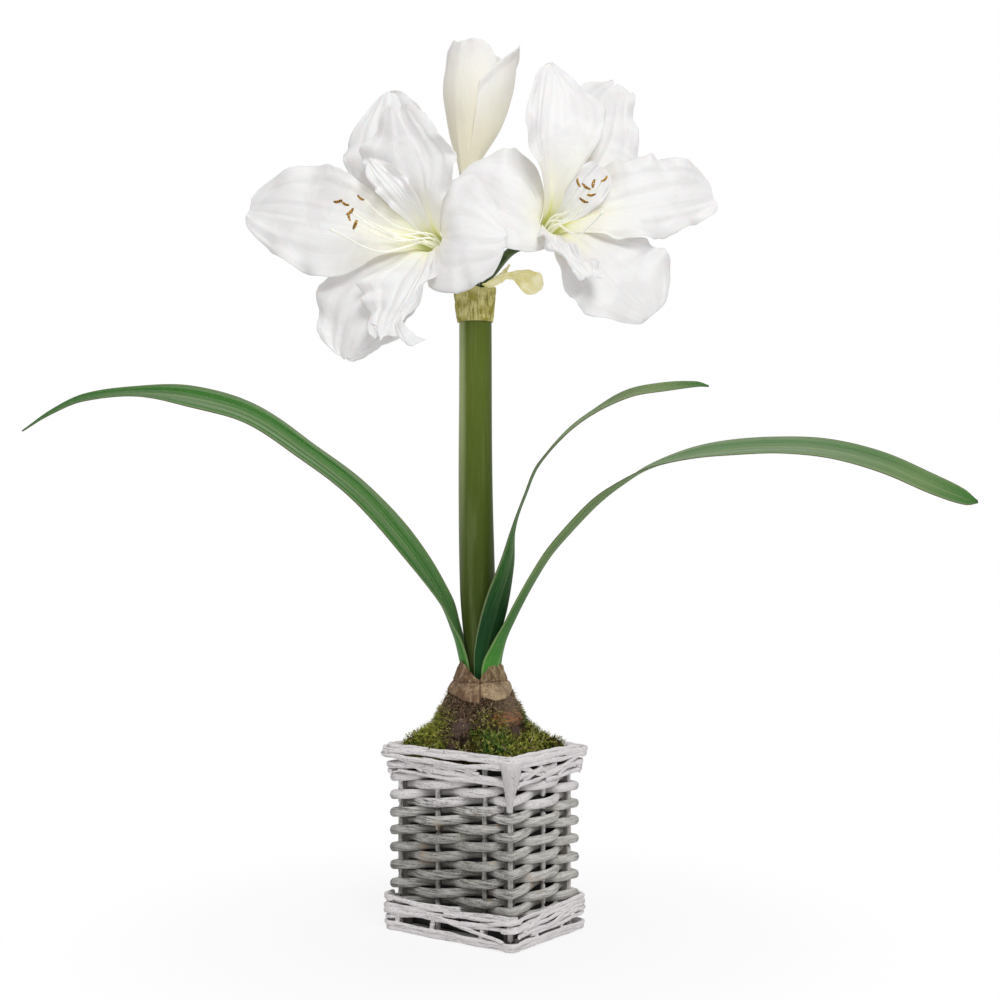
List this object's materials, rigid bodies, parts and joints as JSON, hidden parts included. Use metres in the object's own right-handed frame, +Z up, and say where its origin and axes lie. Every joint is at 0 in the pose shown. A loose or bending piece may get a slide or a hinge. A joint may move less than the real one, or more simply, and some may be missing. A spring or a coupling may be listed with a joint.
{
  "type": "potted amaryllis",
  "caption": "Flowering white amaryllis with strap leaves and a half-buried bulb, standing in moss in a woven rectangular willow basket.",
  "frame": {"origin": "centre of the basket's underside, on the surface it stands on", "axes": "+Z up along the flower stem; +X to the right of a viewer whom the flowers face; +Y away from that viewer"},
  "size_m": [0.6638, 0.1618, 0.6389],
  "materials": {
    "grey_willow": "weathered bark with traces of whitewash",
    "whitewashed_willow": "chalky whitewash over bark",
    "liner_plastic": "thin film",
    "potting_soil": "damp, crumbly",
    "moss": "soft and fibrous",
    "bulb_skin": "rough, dry bark-like scales",
    "bulb_tunic": "papery",
    "leaf_green": "smooth with fine lengthwise veins",
    "scape_green": "smooth, waxy",
    "spathe": "papery, wrinkled",
    "spathe_bract": "papery",
    "pedicel_green": "smooth",
    "tepal_white": "silky, faintly veined",
    "bud_cream": "silky",
    "stamen": "powdery"
  },
  "bodies": {
    "root": {"basket_base": "grey_willow", "bud_petal_roll": "bud_cream", "bud_sepal_back": "bud_cream", "bud_sepal_left": "bud_cream", "bud_sepal_right": "bud_cream", "bulb": "bulb_skin", "bulb_tunic_left": "bulb_tunic", "bulb_tunic_right": "bulb_tunic", "flower_left_stamens": "stamen", "flower_left_style": "tepal_white", "flower_left_tepal_east": "tepal_white", "flower_left_tepal_north_east": "tepal_white", "flower_left_tepal_north_west": "tepal_white", "flower_left_tepal_south_east": "tepal_white", "flower_left_tepal_south_west": "tepal_white", "flower_left_tepal_west": "tepal_white", "flower_right_stamens": "stamen", "flower_right_style": "tepal_white", "flower_right_tepal_east": "tepal_white", "flower_right_tepal_north_east": "tepal_white", "flower_right_tepal_north_west": "tepal_white", "flower_right_tepal_south_east": "tepal_white", "flower_right_tepal_south_west": "tepal_white", "flower_right_tepal_west": "tepal_white", "foot_hoop": "whitewashed_willow", "foot_wale_1": "whitewashed_willow", "foot_wale_2": "whitewashed_willow", "foot_wale_3": "whitewashed_willow", "leaf_left": "leaf_green", "leaf_middle": "leaf_green", "leaf_right": "leaf_green", "liner": "liner_plastic", "moss": "moss", "pedicel_bud": "pedicel_green", "pedicel_left": "pedicel_green", "pedicel_right": "pedicel_green", "rim_hoop_inner": "whitewashed_willow", "rim_hoop_outer": "whitewashed_willow", "rim_hoop_top": "whitewashed_willow", "scape": "scape_green", "soil": "potting_soil", "spathe_bract_back": "spathe_bract", "spathe_bract_right": "spathe_bract", "spathe_collar": "spathe", "stake_01": "grey_willow", "stake_02": "grey_willow", "stake_03": "grey_willow", "stake_04": "grey_willow", "stake_05": "grey_willow", "stake_06": "grey_willow", "stake_07": "grey_willow", "stake_08": "grey_willow", "stake_09": "grey_willow", "stake_10": "grey_willow", "weaver_1": "grey_willow", "weaver_2": "grey_willow", "weaver_3": "grey_willow", "weaver_4": "grey_willow"}
  },
  "joints": []
}
